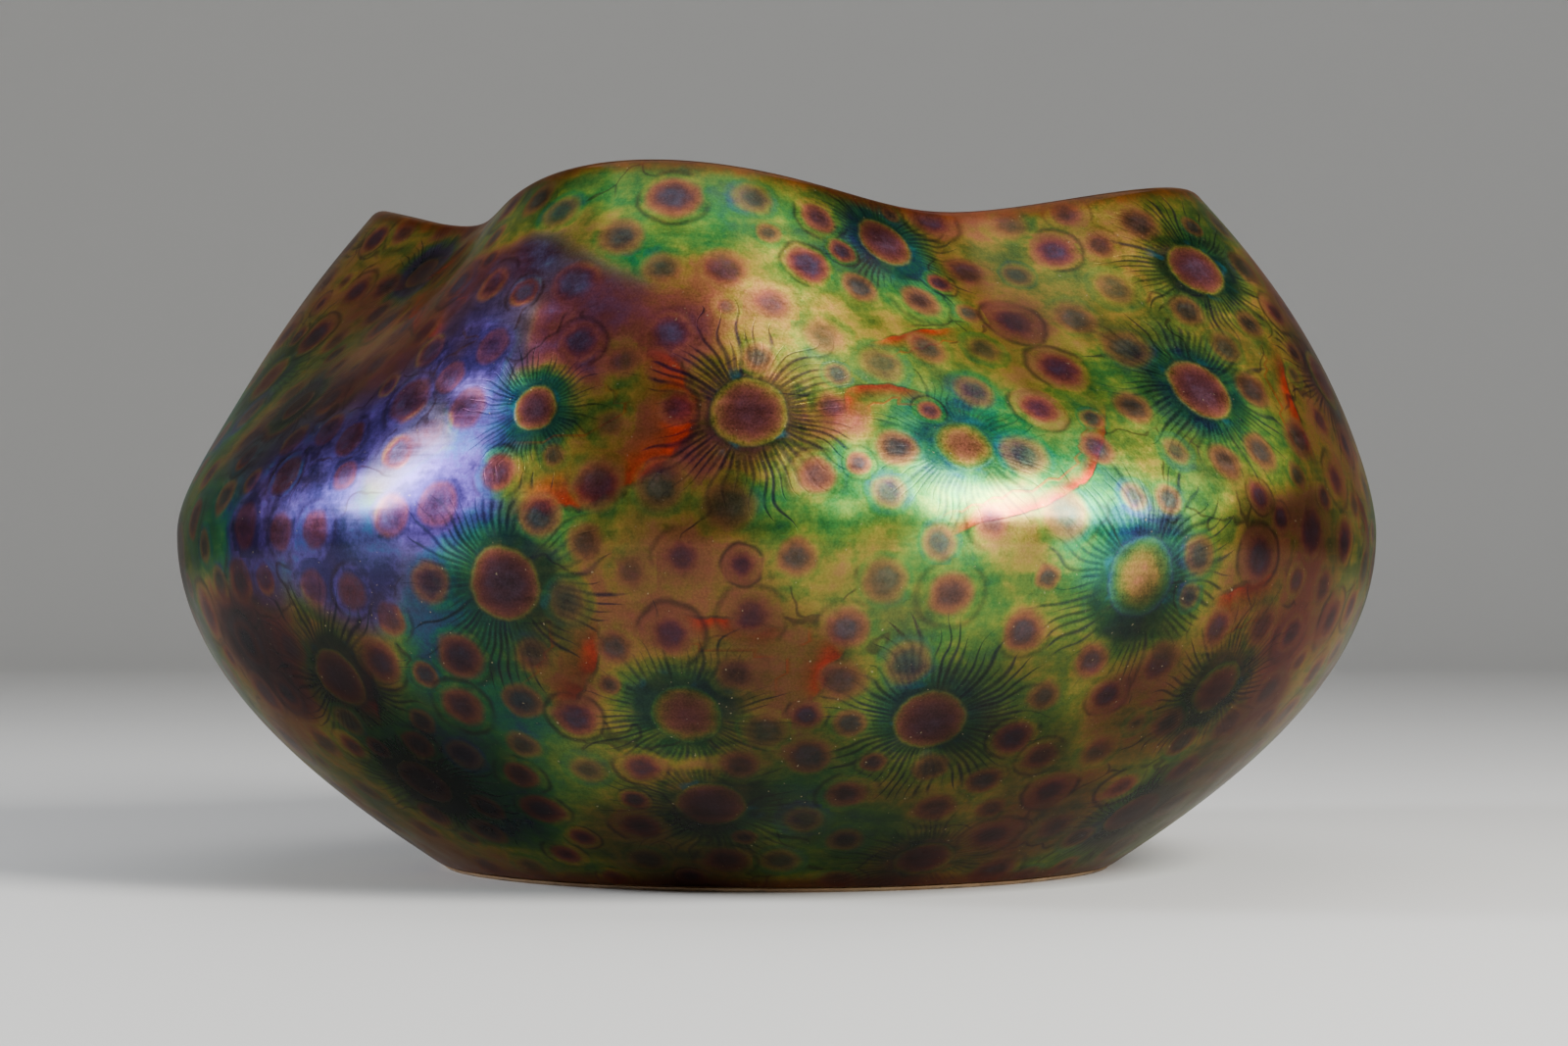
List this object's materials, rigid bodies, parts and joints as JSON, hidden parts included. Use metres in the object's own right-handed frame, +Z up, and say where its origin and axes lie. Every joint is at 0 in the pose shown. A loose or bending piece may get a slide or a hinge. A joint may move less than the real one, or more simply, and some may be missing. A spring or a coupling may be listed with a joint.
{
  "type": "bowl",
  "caption": "Squat round-bellied bowl with a wavy lobed mouth, iridescent spotted glaze outside, plain glazed inside, on a bare foot ring.",
  "frame": {"origin": "middle of the foot, on the surface the bowl stands on", "axes": "+Z up along the bowl's axis; +X, +Y, -X and -Y each pass through a high point of the lobed rim"},
  "size_m": [0.2594, 0.2594, 0.145],
  "materials": {
    "fired_clay": "bare fired clay, matt, ground flat under the foot",
    "lustre_glaze": "iridescent metallic lustre, green, gold, blue and violet, with spots and rayed bursts",
    "lining_glaze": "glossy amber brown, thin and orange at the lip",
    "underside_glaze": "thin glossy brown wash"
  },
  "bodies": {
    "root": {"clay_body": "fired_clay", "foot_ring": "fired_clay", "outer_glaze": "lustre_glaze", "inner_glaze": "lining_glaze", "underside_glaze": "underside_glaze"}
  },
  "joints": []
}
